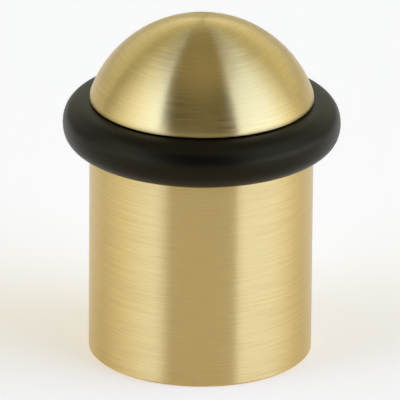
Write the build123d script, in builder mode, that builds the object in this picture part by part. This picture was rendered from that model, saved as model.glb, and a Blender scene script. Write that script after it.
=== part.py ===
from build123d import *
from math import radians, sqrt, tan
import os

# Floor door stop: a turned brass post with a domed head, and a rubber ring in a groove below the head.
# The post stands on Z = 0 with its axis on Z. All sizes are in millimetres, all angles in degrees.

# Post
body_diameter = 32.0
overall_height = 50.0
dome_rise = 11.4  # height of the spherical cap above its edge
dome_blend_radius = 2.0  # softens the edge where the cap meets the straight rim
rim_straight = 0.06  # straight wall that is left between the roundings of the rim
base_chamfer = 0.3

# Ring groove
groove_depth = 1.9
groove_corner_radius = 0.8
lip_radius = 0.2  # rounds both outer edges of the groove

# Bumper ring, of a D section: flat inside the groove, half an ellipse outside it
ring_height = 6.7
ring_overhang = 3.85  # how far it stands out from the post
ring_side_clearance = 0.3  # above and below the ring, between it and the groove walls
ring_seat_clearance = 0.02

# Tapped hole for a hanger screw
thread_diameter = 6.0
thread_pitch = 1.0
tap_drill_depth = 20.0  # to the end of the straight wall
hole_mouth_clearance = 0.3  # how far the countersunk mouth stands outside the thread
hole_mouth_angle = 90.0
drill_point_angle = 118.0

# Head: the cap meets the wall at an angle, and the blend is a circle that touches both from inside
body_radius = body_diameter / 2
dome_radius = (body_radius**2 + dome_rise**2) / (2 * dome_rise)
dome_edge_height = overall_height - dome_rise
dome_centre_height = overall_height - dome_radius
blend_centre_offset = sqrt((dome_radius - dome_blend_radius) ** 2 - (body_radius - dome_blend_radius) ** 2)
rim_top = dome_centre_height + blend_centre_offset  # where the straight wall starts

# Groove, hung from the rim and sized by the ring
groove_width = ring_height + 2 * ring_side_clearance
groove_top = rim_top - rim_straight - lip_radius
groove_bottom = groove_top - groove_width
groove_floor_radius = body_radius - groove_depth

# Ring, seated on the groove floor
ring_seat_radius = groove_floor_radius + ring_seat_clearance
ring_corner_bevel = groove_corner_radius  # a flat bevel of this size clears the groove's round corner
ring_centre_height = (groove_top + groove_bottom) / 2
ring_top = ring_centre_height + ring_height / 2
ring_bottom = ring_centre_height - ring_height / 2

# Hole
tap_drill_radius = (thread_diameter - thread_pitch) / 2
hole_mouth_radius = thread_diameter / 2 + hole_mouth_clearance
drill_point_length = tap_drill_radius / tan(radians(drill_point_angle / 2))

# The post is turned from its half section, then drilled from below
with BuildPart() as stop_body:
    with BuildSketch(Plane.XZ) as half_section:
        with BuildLine():
            Polyline(
                (0, overall_height),
                (0, 0),
                (body_radius, 0),
                (body_radius, groove_bottom),
                (groove_floor_radius, groove_bottom),
                (groove_floor_radius, groove_top),
                (body_radius, groove_top),
                (body_radius, dome_edge_height),
            )
            RadiusArc((body_radius, dome_edge_height), (0, overall_height), -dome_radius)
        make_face()
        fillet(half_section.vertices().group_by(Axis.X)[1], groove_corner_radius)
        # The outer wall's corners, from the base up, are the base edge, the two lips and the cap's edge
        fillet(half_section.vertices().group_by(Axis.X)[-1].sort_by(Axis.Y)[1:3], lip_radius)
        fillet(half_section.vertices().group_by(Axis.X)[-1].sort_by(Axis.Y)[-1], dome_blend_radius)
        chamfer(half_section.vertices().group_by(Axis.X)[-1].sort_by(Axis.Y)[0], base_chamfer)
    revolve(axis=Axis.Z)
    with Locations(stop_body.faces().sort_by(Axis.Z)[0]):
        CounterSinkHole(tap_drill_radius, hole_mouth_radius, tap_drill_depth, hole_mouth_angle)
    # The drill's point leaves a cone at the end of the hole
    with Locations((0, 0, tap_drill_depth)):
        Cone(
            tap_drill_radius,
            0,
            drill_point_length,
            align=(Align.CENTER, Align.CENTER, Align.MIN),
            mode=Mode.SUBTRACT,
        )

# The ring's bulge starts level with the post's wall and meets the flat sides smoothly
with BuildPart() as bumper_ring:
    with BuildSketch(Plane.XZ) as ring_section:
        with BuildLine():
            bulge = EllipticalCenterArc(
                (body_radius, ring_centre_height),
                ring_overhang,
                ring_height / 2,
                start_angle=-90,
                arc_size=180,
            )
            Polyline(bulge @ 1, (ring_seat_radius, ring_top), (ring_seat_radius, ring_bottom), bulge @ 0)
        make_face()
        chamfer(ring_section.vertices().group_by(Axis.X)[0], ring_corner_bevel)
    revolve(axis=Axis.Z)

stop_body.part.label = "stop_body"
bumper_ring.part.label = "bumper_ring"

os.makedirs("parts", exist_ok=True)
export_step(stop_body.part, "parts/stop_body.step")
export_step(bumper_ring.part, "parts/bumper_ring.step")
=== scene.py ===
import math

import bpy
import numpy as np
from mathutils import Matrix, Vector


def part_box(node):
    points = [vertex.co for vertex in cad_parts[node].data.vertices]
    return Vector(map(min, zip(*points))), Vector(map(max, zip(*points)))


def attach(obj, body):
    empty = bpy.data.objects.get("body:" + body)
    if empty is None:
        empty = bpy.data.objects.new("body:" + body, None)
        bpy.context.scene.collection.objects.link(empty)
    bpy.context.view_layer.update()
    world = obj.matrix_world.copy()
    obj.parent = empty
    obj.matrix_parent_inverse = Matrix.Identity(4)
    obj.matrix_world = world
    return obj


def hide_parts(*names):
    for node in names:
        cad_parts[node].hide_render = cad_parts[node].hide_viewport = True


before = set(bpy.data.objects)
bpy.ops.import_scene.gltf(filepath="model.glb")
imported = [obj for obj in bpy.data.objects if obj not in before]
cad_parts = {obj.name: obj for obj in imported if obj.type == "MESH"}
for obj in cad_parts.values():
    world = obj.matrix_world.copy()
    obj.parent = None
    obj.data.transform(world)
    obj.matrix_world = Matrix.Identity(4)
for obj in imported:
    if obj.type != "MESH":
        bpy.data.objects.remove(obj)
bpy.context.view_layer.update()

mm = 0.001  # sizes below are in millimetres, Blender's are in metres
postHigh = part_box("stop_body")[1] / mm
ringLow, ringHigh = (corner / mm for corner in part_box("bumper_ring"))
sharpAngle = math.radians(40)  # an edge that turns by more than this stays sharp
scene = bpy.context.scene
scene.view_settings.view_transform = "Standard"


# sRGB hex to linear: each channel through the sRGB curve
def linear(hexColour):
    srgb = np.array([int(hexColour[i : i + 2], 16) / 255 for i in (1, 3, 5)])
    light = np.where(srgb <= 0.04045, srgb / 12.92, ((srgb + 0.055) / 1.055) ** 2.4)
    return (*light.tolist(), 1.0)


# One node with its settings, its input values and its incoming links
def addNode(tree, kind, values=None, links=None, **settings):
    node = tree.nodes.new(kind)
    for name, value in settings.items():
        setattr(node, name, value)
    for name, value in (values or {}).items():
        node.inputs[name].default_value = value
    for name, socket in (links or {}).items():
        tree.links.new(socket, node.inputs[name])
    return node


def newMaterial(name):
    material = bpy.data.materials.new(name)
    material.use_nodes = True
    material.node_tree.nodes.clear()
    return material, material.node_tree


# Points, in millimetres, and faces become a smooth-shaded object that rides on the part
def newPiece(name, points, faces, node, material):
    mesh = bpy.data.meshes.new(name)
    mesh.from_pydata((points * mm).tolist(), [], faces)
    mesh.shade_smooth()
    mesh.set_sharp_from_angle(angle=sharpAngle)
    mesh.materials.append(material)
    piece = bpy.data.objects.new(name, mesh)
    scene.collection.objects.link(piece)
    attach(piece, "root")
    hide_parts(node)
    return piece


# Faces of a grid of rows, closed round each row: every point joins the next in its row and the next row
def gridFaces(rows, around, first=0, closeRows=False):
    i, j = np.meshgrid(np.arange(rows if closeRows else rows - 1), np.arange(around), indexing="ij")
    down, beside = (i + 1) % rows, (j + 1) % around
    quads = np.stack([i * around + j, down * around + j, down * around + beside, i * around + beside], -1)
    return (first + quads.reshape(-1, 4)).tolist()


# An arc about a centre, from one angle to another, as (radius, height) points
def arc(centre, radius, start, end, steps):
    turn = np.linspace(start, end, steps + 1)
    return np.stack([centre[0] + radius * np.cos(turn), centre[1] + radius * np.sin(turn)], -1)


# An outline of (radius, height, rounding) corners, each inner one an arc tangent to both of its runs
def roundedOutline(corners, steps):
    points = np.array(corners, float)[:, :2]
    roundings = [corner[2] for corner in corners]
    pieces = [points[:1]]
    for before, corner, after, radius in zip(points, points[1:], points[2:], roundings[1:]):
        back, ahead = before - corner, after - corner
        back, ahead = back / np.linalg.norm(back), ahead / np.linalg.norm(ahead)
        half = math.acos(np.clip(back @ ahead, -1, 1)) / 2
        middle = (back + ahead) / np.linalg.norm(back + ahead)
        centre = corner + middle * radius / math.sin(half)
        start, end = (corner + side * radius / math.tan(half) - centre for side in (back, ahead))
        angles = np.unwrap([math.atan2(start[1], start[0]), math.atan2(end[1], end[0])])
        pieces.append(arc(centre, radius, *angles, steps))
    return np.concatenate([*pieces, points[-1:]])


# Long runs of an outline divided evenly, so that no face is longer than the step
def divided(outline, step):
    lengths = np.linalg.norm(np.diff(outline, axis=0), axis=1)
    counts = np.maximum(1, np.ceil(lengths / step)).astype(int)
    runs = [np.linspace(a, b, n, endpoint=False) for a, b, n in zip(outline, outline[1:], counts)]
    return np.concatenate([*runs, outline[-1:]])


# Satin brass: turned, then brushed round the axis and lacquered. The marks run round the post, so a
# reflection stays sharp sideways and smears up and down.
brass = {
    "colour": "#E0C37E",
    "darkMark": "#D5B877",
    "roughness": 0.32,
    "roughnessMarks": 0.07,  # how much rougher the light marks are than the dark ones
    "roughnessCentre": 0.22,  # the brush hardly moves at the middle of the dome and leaves it smoother
    "centreTo": (2.0, 5.0),  # mm from the top of the dome, where the smooth middle ends
    "marksFrom": (4.8, 7.5),  # and where the marks start to show in the roughness
    "anisotropy": 1.0,
    "smearTurn": 0.25,  # a quarter turn, so that the smear runs across the marks
    "lacquer": 0.08,
    "lacquerRoughness": 0.2,
    "markSpacing": 0.17,  # mm; real marks are near 0.05 apart, drawn coarser so that they show
    "markRun": 8.0,  # mm before a line wanders off
    "liftSpacing": 0.3,  # the brush lifts off at different places on neighbouring lines
    "liftRun": 1.3,
    "liftRange": (0.2, 0.6),  # the noise at which the brush is just off the metal, and fully on it
    "noMark": 0.5,  # the noise's middle, left where the brush is off
    "markRange": (0.4, 0.6),  # the noise at which a mark is darkest, and lightest
    "noiseDetail": 1.0,
    "noiseRoughness": 0.6,
    "markDepth": 0.012,
}


def satinBrass():
    material, tree = newMaterial("satin brass, brushed and lacquered")
    place = addNode(tree, "ShaderNodeTexCoord")
    links = {0: place.outputs["Object"]}
    flat = addNode(tree, "ShaderNodeVectorMath", {1: (1, 1, 0)}, links, operation="MULTIPLY")
    around = addNode(tree, "ShaderNodeVectorMath", links={0: flat.outputs[0]}, operation="NORMALIZE")
    path = addNode(tree, "ShaderNodeAttribute", attribute_name="turnedPath").outputs["Fac"]
    along = addNode(tree, "ShaderNodeCombineXYZ", links={"Z": path})

    # Two noises, long round the axis and short along the outline: the lines, and where the brush lifts off
    noises = []
    for spacing, run in (
        (brass["markSpacing"], brass["markRun"]),
        (brass["liftSpacing"], brass["liftRun"]),
    ):
        scaled = []
        for direction, scale in ((around, postHigh.x / run), (along, 1 / spacing)):
            links = {0: direction.outputs[0]}
            stretch = addNode(tree, "ShaderNodeVectorMath", {"Scale": scale}, links, operation="SCALE")
            scaled.append(stretch.outputs[0])
        both = addNode(tree, "ShaderNodeVectorMath", links=dict(enumerate(scaled)), operation="ADD")
        noise = addNode(
            tree,
            "ShaderNodeTexNoise",
            {"Scale": 1.0, "Detail": brass["noiseDetail"], "Roughness": brass["noiseRoughness"]},
            {"Vector": both.outputs[0]},
        )
        noises.append(noise.outputs["Fac"])
    lines, lift = noises

    # The lines, fading to no mark where the brush is off, then the tint and the roughness they give
    off, on = brass["liftRange"]
    press = addNode(tree, "ShaderNodeMapRange", {"From Min": off, "From Max": on}, {"Value": lift})
    links = {"Factor": press.outputs["Result"], "B": lines}
    fading = addNode(tree, "ShaderNodeMix", {"A": brass["noMark"]}, links, data_type="FLOAT")
    brushed = fading.outputs["Result"]
    dark, light = brass["markRange"]
    mark = addNode(tree, "ShaderNodeMapRange", {"From Min": dark, "From Max": light}, {"Value": brushed})
    level = mark.outputs["Result"]
    tint = addNode(
        tree,
        "ShaderNodeMix",
        {"A": linear(brass["darkMark"]), "B": linear(brass["colour"])},
        {"Factor": level},
        data_type="RGBA",
    )
    start, end = brass["centreTo"]
    darkRoughness = brass["roughness"] - brass["roughnessMarks"] / 2
    smooth = addNode(
        tree,
        "ShaderNodeMapRange",
        {"From Min": start, "From Max": end, "To Min": brass["roughnessCentre"], "To Max": darkRoughness},
        {"Value": path},
        interpolation_type="SMOOTHSTEP",
    )
    start, end = brass["marksFrom"]
    spread = addNode(
        tree,
        "ShaderNodeMapRange",
        {"From Min": start, "From Max": end, "To Max": brass["roughnessMarks"]},
        {"Value": path},
        interpolation_type="SMOOTHSTEP",
    )
    links = {0: level, 1: spread.outputs["Result"], 2: smooth.outputs["Result"]}
    rough = addNode(tree, "ShaderNodeMath", links=links, operation="MULTIPLY_ADD")
    bump = addNode(tree, "ShaderNodeBump", {"Distance": brass["markDepth"] * mm}, {"Height": brushed})
    tangent = addNode(tree, "ShaderNodeTangent", direction_type="RADIAL", axis="Z")
    shader = addNode(
        tree,
        "ShaderNodeBsdfPrincipled",
        {
            "Metallic": 1.0,
            "Anisotropic": brass["anisotropy"],
            "Anisotropic Rotation": brass["smearTurn"],
            "Coat Weight": brass["lacquer"],
            "Coat Roughness": brass["lacquerRoughness"],
        },
        {
            "Base Color": tint.outputs["Result"],
            "Roughness": rough.outputs[0],
            "Normal": bump.outputs["Normal"],
            "Tangent": tangent.outputs["Tangent"],
        },
    )
    addNode(tree, "ShaderNodeOutputMaterial", links={"Surface": shader.outputs["BSDF"]})
    return material


# The post, one closed surface: a half outline turned about Z, from the top of the dome down the outside,
# across the underside and up the tapped hole. Only the thread's radius changes with the angle as well.
post = {
    "domeRise": 11.4,
    "domeBlend": 2.0,
    "lipRadius": 0.2,
    "grooveDepth": 1.9,
    "grooveCorner": 0.8,
    "ringSideClearance": 0.3,
    "baseChamfer": 0.3,
    "edgeBreak": 0.06,  # the chamfer's edges are broken by the brushing
    "threadDiameter": 6.0,
    "threadPitch": 1.0,
    "threadFlank": 3.0,  # thread depths that a flank would climb in one pitch
    "threadCrest": 0.25,  # thread depths that the flat crest takes off
    "threadRunOut": 2.0,  # the tap's lead, where the thread fades out
    "tapDepth": 20.0,
    "mouthClearance": 0.3,
    "drillPoint": math.radians(118),
    "around": 240,  # points round the axis
    "step": 1.6,  # the longest face along the straight runs
    "domeRows": 56,  # rows of points on each stretch of the outline
    "blendRows": 8,
    "cornerRows": 8,
    "pitchRows": 10,
    "pointRows": 6,
}


def brassPost():
    height, radius = postHigh.z, postHigh.x
    domeRadius = (radius**2 + post["domeRise"] ** 2) / (2 * post["domeRise"])
    domeCentre = height - domeRadius
    blend = post["domeBlend"]
    blendCentre = domeCentre + math.sqrt((domeRadius - blend) ** 2 - (radius - blend) ** 2)
    meet = math.atan2(blendCentre - domeCentre, radius - blend)  # where the cap runs into the blend
    dome = arc((0, domeCentre), domeRadius, math.pi / 2, meet, post["domeRows"])
    rim = arc((radius - blend, blendCentre), blend, meet, 0, post["blendRows"])
    head = np.concatenate([dome[1:], rim[1:]])
    grooveMiddle = (ringLow.z + ringHigh.z) / 2
    grooveHalf = (ringHigh.z - ringLow.z) / 2 + post["ringSideClearance"]
    grooveTop, grooveBottom = grooveMiddle + grooveHalf, grooveMiddle - grooveHalf
    grooveFloor = radius - post["grooveDepth"]
    lip, corner = post["lipRadius"], post["grooveCorner"]
    chamfer, edge = post["baseChamfer"], post["edgeBreak"]
    mouth = post["threadDiameter"] / 2 + post["mouthClearance"]
    corners = [
        (*head[-1], 0),
        (radius, grooveTop, lip),
        (grooveFloor, grooveTop, corner),
        (grooveFloor, grooveBottom, corner),
        (radius, grooveBottom, lip),
        (radius, chamfer, edge),
        (radius - chamfer, 0, edge),
        (mouth, 0, 0),
    ]
    side = divided(roundedOutline(corners, post["cornerRows"]), post["step"])
    outside = np.concatenate([head, side[1:]])

    # Tapped hole: the wall's radius is the larger of the mouth's cone and the thread. The thread's depth at
    # a height z and an angle t depends only on z / pitch - t / (2 pi): from a flat crest to a flat root
    turn = np.arange(post["around"]) / post["around"] * 2 * math.pi
    depth = np.arange(0, post["tapDepth"], post["threadPitch"] / post["pitchRows"])[1:]
    minor = (post["threadDiameter"] - post["threadPitch"]) / 2
    wave = (depth[:, None] / post["threadPitch"] - turn[None] / (2 * math.pi)) % 1
    fromCrest = 0.5 - np.abs(wave - 0.5)  # in pitches
    profile = np.clip(post["threadFlank"] * fromCrest - post["threadCrest"], 0, 1)
    fade = np.clip((post["tapDepth"] - depth) / post["threadRunOut"], 0, 1)[:, None]
    wall = minor + profile * fade * (post["threadDiameter"] / 2 - minor)
    wall = np.maximum(wall, (mouth - depth)[:, None])
    holeEnd = post["tapDepth"] + minor / math.tan(post["drillPoint"] / 2)
    tip = np.linspace((minor, post["tapDepth"]), (0, holeEnd), post["pointRows"], endpoint=False)

    ones = np.ones(post["around"])
    radii = np.concatenate([outside[:, :1] * ones, wall, tip[:, :1] * ones])
    heights = np.concatenate([outside[:, 1], depth, tip[:, 1]])
    grid = np.stack([radii * np.cos(turn), radii * np.sin(turn), heights[:, None] * ones], -1)
    points = np.concatenate([[[0, 0, height]], grid.reshape(-1, 3), [[0, 0, holeEnd]]])
    rows, around = len(heights), post["around"]
    j = np.arange(around)
    beside = (j + 1) % around
    lastRow = 1 + (rows - 1) * around
    topFan = np.stack([np.zeros_like(j), 1 + j, 1 + beside], -1)
    tipFan = np.stack([lastRow + j, np.full_like(j, len(points) - 1), lastRow + beside], -1)
    faces = gridFaces(rows, around, 1) + topFan.tolist() + tipFan.tolist()
    piece = newPiece("brassPost", points, faces, "stop_body", satinBrass())

    # Distance along the outline from the top of the dome, in millimetres, for the brush marks
    outline = np.concatenate([[[0, height]], np.stack([radii.min(1), heights], -1), [[0, holeEnd]]])
    along = np.concatenate([[0], np.cumsum(np.linalg.norm(np.diff(outline, axis=0), axis=1))])
    path = np.concatenate([along[:1], np.repeat(along[1:-1], around), along[-1:]])
    turnedPath = piece.data.attributes.new("turnedPath", "FLOAT", "POINT")
    turnedPath.data.foreach_set("value", path.astype(np.float32))
    print("post:", rows, "rows of", around)


# Black rubber, moulded and matt: a soft sheen towards the edges and a fine dusty tooth
rubber = {
    "colour": "#0B0905",
    "bloom": "#0E0C08",  # a paler film that comes to the surface in patches
    "roughness": 0.38,
    "roughnessSpread": 0.05,
    "ior": 1.52,
    "specular": 0.2,  # the dusty tooth takes most of the gloss
    "specularTint": "#FFE5A2",
    "toothSize": 0.25,  # mm; the real tooth is near 0.05, drawn coarser so that it shows
    "toothDepth": 0.02,
    "toothStrength": 0.12,
    "toothDetail": 2.0,
    "mottleSize": 6.0,
    "mottleDetail": 3.0,
}


def blackRubber():
    material, tree = newMaterial("black rubber, moulded")
    place = addNode(tree, "ShaderNodeTexCoord")
    tooth = addNode(
        tree,
        "ShaderNodeTexNoise",
        {"Scale": 1 / (rubber["toothSize"] * mm), "Detail": rubber["toothDetail"]},
        {"Vector": place.outputs["Object"]},
    )
    mottle = addNode(
        tree,
        "ShaderNodeTexNoise",
        {"Scale": 1 / (rubber["mottleSize"] * mm), "Detail": rubber["mottleDetail"]},
        {"Vector": place.outputs["Object"]},
    )
    tint = addNode(
        tree,
        "ShaderNodeMix",
        {"A": linear(rubber["colour"]), "B": linear(rubber["bloom"])},
        {"Factor": mottle.outputs["Fac"]},
        data_type="RGBA",
    )
    low = rubber["roughness"] - rubber["roughnessSpread"]
    high = rubber["roughness"] + rubber["roughnessSpread"]
    links = {"Value": mottle.outputs["Fac"]}
    rough = addNode(tree, "ShaderNodeMapRange", {"To Min": low, "To Max": high}, links)
    bump = addNode(
        tree,
        "ShaderNodeBump",
        {"Strength": rubber["toothStrength"], "Distance": rubber["toothDepth"] * mm},
        {"Height": tooth.outputs["Fac"]},
    )
    shader = addNode(
        tree,
        "ShaderNodeBsdfPrincipled",
        {
            "IOR": rubber["ior"],
            "Specular IOR Level": rubber["specular"],
            "Specular Tint": linear(rubber["specularTint"]),
        },
        {
            "Base Color": tint.outputs["Result"],
            "Roughness": rough.outputs["Result"],
            "Normal": bump.outputs["Normal"],
        },
    )
    addNode(tree, "ShaderNodeOutputMaterial", links={"Surface": shader.outputs["BSDF"]})
    return material


# The ring: a D section turned about Z. Outside the post's wall the section is half a superellipse, its
# cosine and sine raised to 2 / fullness, with a slightly taller upper half. Inside it is flat with bevelled
# corners. The mould's parting line is a low bead, a bell curve at the widest place.
ring = {
    "seatGap": 0.02,
    "fullness": 2.3,  # 2 is an ellipse, and more is squarer
    "swell": 0.15,  # how much taller the upper half is, towards the head
    "beadHeight": 0.02,
    "beadWidth": 0.11,
    "flatStep": 0.3,  # the longest face on the flat side
    "around": 288,
    "bulgeRows": 120,
}


def rubberRing():
    half = (ringHigh.z - ringLow.z) / 2
    middle = (ringLow.z + ringHigh.z) / 2
    top, bottom = middle + half + ring["swell"], middle - half
    wall = postHigh.x
    seat = wall - post["grooveDepth"] + ring["seatGap"]
    bevel = post["grooveCorner"]
    spin = np.linspace(math.pi / 2, -math.pi / 2, ring["bulgeRows"] + 1)
    offLine = np.abs(spin) * half  # about how far a point is from the parting line
    bead = ring["beadHeight"] * (np.exp(-((offLine / ring["beadWidth"]) ** 2)) - 1)
    out = np.cos(spin) ** (2 / ring["fullness"])
    up = np.sign(spin) * np.abs(np.sin(spin)) ** (2 / ring["fullness"])
    reach = wall + (ringHigh.x - wall + bead) * out
    bulge = np.stack([reach, middle + np.where(up > 0, top - middle, half) * up], -1)
    corners = [
        (wall, bottom),
        (seat + bevel, bottom),
        (seat, bottom + bevel),
        (seat, top - bevel),
        (seat + bevel, top),
        (wall, top),
    ]
    section = np.concatenate([bulge, divided(np.array(corners), ring["flatStep"])[1:-1]])
    turn = np.arange(ring["around"]) / ring["around"] * 2 * math.pi
    radii, heights = section[:, :1], section[:, 1:] * np.ones(ring["around"])
    grid = np.stack([radii * np.cos(turn), radii * np.sin(turn), heights], -1)
    faces = gridFaces(len(section), ring["around"], closeRows=True)
    newPiece("rubberRing", grid.reshape(-1, 3), faces, "bumper_ring", blackRubber())
    print("ring:", len(section), "by", ring["around"])


brassPost()
rubberRing()

# White card floor, one flat square: it takes the shadow, and shows white to the camera and in reflections
floor = {
    "size": 4000.0,
    "colour": "#F7EFE0",
    "glow": 0.37,  # only seen, by the camera, metal and glass: it lights nothing
}


def paleFloor():
    half = floor["size"] / 2 * mm
    corners = [(-half, -half, 0), (half, -half, 0), (half, half, 0), (-half, half, 0)]
    mesh = bpy.data.meshes.new("paleFloor")
    mesh.from_pydata(corners, [], [(0, 1, 2, 3)])
    material, tree = newMaterial("white card")
    colour = linear(floor["colour"])
    card = addNode(tree, "ShaderNodeBsdfDiffuse", {"Color": colour})
    ray = addNode(tree, "ShaderNodeLightPath").outputs
    seen = ray["Is Camera Ray"]
    for kind in ("Is Glossy Ray", "Is Transmission Ray"):
        links = {0: seen, 1: ray[kind]}
        seen = addNode(tree, "ShaderNodeMath", links=links, operation="MAXIMUM").outputs[0]
    strength = addNode(tree, "ShaderNodeMath", {1: floor["glow"]}, {0: seen}, operation="MULTIPLY")
    glow = addNode(tree, "ShaderNodeEmission", {"Color": colour}, {"Strength": strength.outputs[0]})
    both = addNode(tree, "ShaderNodeAddShader", links={0: card.outputs[0], 1: glow.outputs[0]})
    addNode(tree, "ShaderNodeOutputMaterial", links={"Surface": both.outputs[0]})
    mesh.materials.append(material)
    piece = bpy.data.objects.new("paleFloor", mesh)
    scene.collection.objects.link(piece)
    print("floor:", floor["size"], "mm")


paleFloor()

# Studio: a room painted in the world, as the post sees it. Two tall soft panels stand left and right of
# the camera, with a dark gap between them. They are brightest at the foot, a little brighter again higher
# up, and turn creamier as they fade outwards. Behind the post is a wall, dimmer at its foot, upwards and to
# the left. Over it all is a ceiling, and a faint glow runs along the horizon in front. Angles are in
# degrees: azimuth from the camera to the right, elevation from the horizon up.
studio = {
    "panelColour": "#B2C9FF",
    "fadeColour": "#E6E9D4",  # what a panel turns to as it fades
    "panels": {
        "left": {
            "side": -1,
            "inner": 31.8,  # its inner edge, counted from the camera
            "edge": 3.8,  # how soft that edge is
            "lean": 0.47,  # how far the edge leans outwards for each degree up
            "fade": (48, 117),  # where it starts to fade, and where it is gone
            "fadeLean": 0.25,
            "top": 56,
            "strength": 3.72,
            "foot": 1.25,  # how much brighter it is at its foot
            "rise": 0.02,  # and higher up
        },
        "right": {
            "side": 1,
            "inner": 36.9,
            "edge": 4.6,
            "lean": 0.07,
            "fade": (75, 121),
            "fadeLean": 0.2,
            "top": 61,
            "strength": 2.7,
            "foot": 4.4,
            "rise": 0.14,
        },
    },
    "topEdge": 4,  # how soft both top edges are
    "footTo": 7.6,  # how high the bright foot reaches
    "riseFrom": (14, 34),
    "wallColour": "#FCFFE9",
    "wall": 0.95,
    "wallFrom": (117, 121),  # where the front gives way to the wall, on both sides
    "wallFoot": 0.03,  # a share of the wall's strength
    "wallFootTo": 13,
    "wallTop": 0.28,
    "wallTopFrom": (22, 56),
    "wallLeft": 0.88,  # its share at the left
    "wallLeftFrom": 0.7,  # how far left that is, in the direction's X
    "ceilingColour": "#FFFADA",
    "ceilingFront": 0.81,
    "ceilingBack": 0.18,
    "ceilingTurn": 0.6,  # how far to the front and to the back it changes, in the direction's Y
    "ceilingFrom": (56, 66),  # where the sides give way to the ceiling
    "horizon": 0.1,
    "horizonTo": 6,
}


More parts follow.
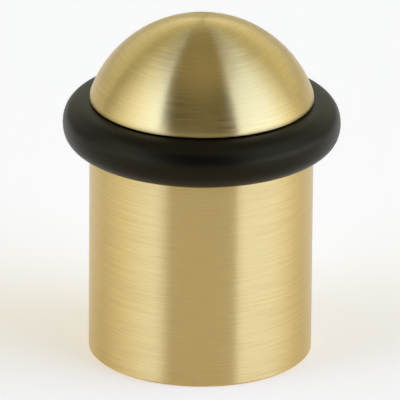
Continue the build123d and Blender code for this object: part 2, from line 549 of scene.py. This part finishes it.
def paintStudio():
    world = bpy.data.worlds.new("studio")
    scene.world = world
    world.use_nodes = True
    tree = world.node_tree
    tree.nodes.clear()

    # The direction that is looked in, with Y turned towards the camera, and its two angles
    links = {0: addNode(tree, "ShaderNodeTexCoord").outputs["Generated"]}
    facing = addNode(tree, "ShaderNodeVectorMath", {1: (1, -1, 1)}, links, operation="MULTIPLY")
    axes = addNode(tree, "ShaderNodeSeparateXYZ", links={0: facing.outputs[0]}).outputs
    turn = addNode(tree, "ShaderNodeMath", links={0: axes["X"], 1: axes["Y"]}, operation="ARCTAN2")
    azimuth = addNode(tree, "ShaderNodeMath", links={0: turn.outputs[0]}, operation="DEGREES").outputs[0]
    aside = addNode(tree, "ShaderNodeMath", links={0: azimuth}, operation="ABSOLUTE").outputs[0]
    tilt = addNode(tree, "ShaderNodeMath", links={0: axes["Z"]}, operation="ARCSINE")
    elevation = addNode(tree, "ShaderNodeMath", links={0: tilt.outputs[0]}, operation="DEGREES").outputs[0]

    # Each share of the light: what it follows, over which range, its two ends, and the way between them
    even, soft = "LINEAR", "SMOOTHSTEP"
    ceilingRange = (-studio["ceilingTurn"], studio["ceilingTurn"])
    shares = {
        "behind": (aside, studio["wallFrom"], (0, 1), soft),
        "horizon": (elevation, (0, studio["horizonTo"]), (studio["horizon"], 0), soft),
        "wallFoot": (elevation, (0, studio["wallFootTo"]), (studio["wallFoot"], 1), soft),
        "wallTop": (elevation, studio["wallTopFrom"], (studio["wall"], studio["wallTop"]), even),
        "wallLeft": (axes["X"], (-studio["wallLeftFrom"], 0), (studio["wallLeft"], 1), even),
        "ceiling": (axes["Y"], ceilingRange, (studio["ceilingBack"], studio["ceilingFront"]), soft),
        "above": (elevation, studio["ceilingFrom"], (0, 1), soft),
    }
    for name, panel in studio["panels"].items():
        outwards = addNode(tree, "ShaderNodeMath", {1: panel["side"]}, {0: azimuth}, operation="MULTIPLY")
        links = {0: elevation, 2: outwards.outputs[0]}
        inner = addNode(tree, "ShaderNodeMath", {1: -panel["lean"]}, links, operation="MULTIPLY_ADD")
        outer = addNode(tree, "ShaderNodeMath", {1: -panel["fadeLean"]}, links, operation="MULTIPLY_ADD")
        innerEdge = (panel["inner"] - panel["edge"], panel["inner"] + panel["edge"])
        topEdge = (panel["top"] - studio["topEdge"], panel["top"] + studio["topEdge"])
        shares[name, "inside"] = (inner.outputs[0], innerEdge, (0, panel["strength"]), soft)
        shares[name, "fade"] = (outer.outputs[0], panel["fade"], (1, 0), even)
        shares[name, "top"] = (elevation, topEdge, (1, 0), soft)
        shares[name, "foot"] = (elevation, (0, studio["footTo"]), (1 + panel["foot"], 1), soft)
        shares[name, "rise"] = (elevation, studio["riseFrom"], (1, 1 + panel["rise"]), even)
    light = {}
    for name, (value, (start, end), (first, last), way) in shares.items():
        values = {"From Min": start, "From Max": end, "To Min": first, "To Max": last}
        share = addNode(tree, "ShaderNodeMapRange", values, {"Value": value}, interpolation_type=way)
        light[name] = share.outputs["Result"]

    # A panel's strength is the product of its shares
    panelLights = []
    for name in studio["panels"]:
        glow = light[name, "inside"]
        for part in ("fade", "top", "foot", "rise"):
            links = {0: glow, 1: light[name, part]}
            glow = addNode(tree, "ShaderNodeMath", links=links, operation="MULTIPLY").outputs[0]
        colour = addNode(
            tree,
            "ShaderNodeMix",
            {"A": linear(studio["fadeColour"]), "B": linear(studio["panelColour"])},
            {"Factor": light[name, "fade"]},
            data_type="RGBA",
        )
        links = {"Color": colour.outputs["Result"], "Strength": glow}
        panelLights.append(addNode(tree, "ShaderNodeBackground", links=links))

    # The room: the glow along the horizon in front, the wall behind, and the ceiling over both
    wall = light["wallFoot"]
    for part in ("wallTop", "wallLeft"):
        links = {0: wall, 1: light[part]}
        wall = addNode(tree, "ShaderNodeMath", links=links, operation="MULTIPLY").outputs[0]
    links = {"Factor": light["behind"], "A": light["horizon"], "B": wall}
    sides = addNode(tree, "ShaderNodeMix", links=links, data_type="FLOAT").outputs["Result"]
    wallColour, ceilingColour = linear(studio["wallColour"]), linear(studio["ceilingColour"])
    sideLight = addNode(tree, "ShaderNodeBackground", {"Color": wallColour}, {"Strength": sides})
    links = {"Strength": light["ceiling"]}
    ceilingLight = addNode(tree, "ShaderNodeBackground", {"Color": ceilingColour}, links)
    links = {0: light["above"], 1: sideLight.outputs[0], 2: ceilingLight.outputs[0]}
    room = addNode(tree, "ShaderNodeMixShader", links=links)
    for panelLight in panelLights:
        room = addNode(tree, "ShaderNodeAddShader", links={0: room.outputs[0], 1: panelLight.outputs[0]})
    addNode(tree, "ShaderNodeOutputWorld", links={"Surface": room.outputs[0]})
    print("studio:", len(panelLights), "panels")


paintStudio()

# Camera: the photograph's angle, from far enough that the post's sides stay parallel
camera = {
    "elevation": math.radians(21.56),
    "distance": 1600.0,
    "frame": 57.23,  # mm across the picture at the post
    "lookHeight": 20.8,  # a point on the axis, and where it falls in the picture, from its middle
    "right": 0.147,
    "below": 1.462,
    "roll": 0.0085,  # radians: the photograph leans a little to the right
    "sensor": 36.0,
    "clip": (50.0, 20000.0),  # the nearest and the farthest that it sees
}


def photoCamera():
    rise = camera["elevation"]
    back = Vector((0, -math.cos(rise), math.sin(rise)))
    right, up = Vector((1, 0, 0)), Vector((0, math.sin(rise), math.cos(rise)))
    aim = Vector((0, 0, camera["lookHeight"])) + up * camera["below"] - right * camera["right"]
    lens = bpy.data.cameras.new("photoCamera")
    lens.sensor_width = camera["sensor"]
    lens.lens = camera["sensor"] * camera["distance"] / camera["frame"]
    lens.clip_start, lens.clip_end = (limit * mm for limit in camera["clip"])
    view = bpy.data.objects.new("photoCamera", lens)
    turn = Matrix((right, up, back)).transposed() @ Matrix.Rotation(camera["roll"], 3, "Z")
    view.matrix_world = Matrix.Translation((aim + back * camera["distance"]) * mm) @ turn.to_4x4()
    scene.collection.objects.link(view)
    scene.camera = view
    print("camera:", round(lens.lens), "mm lens")


photoCamera()
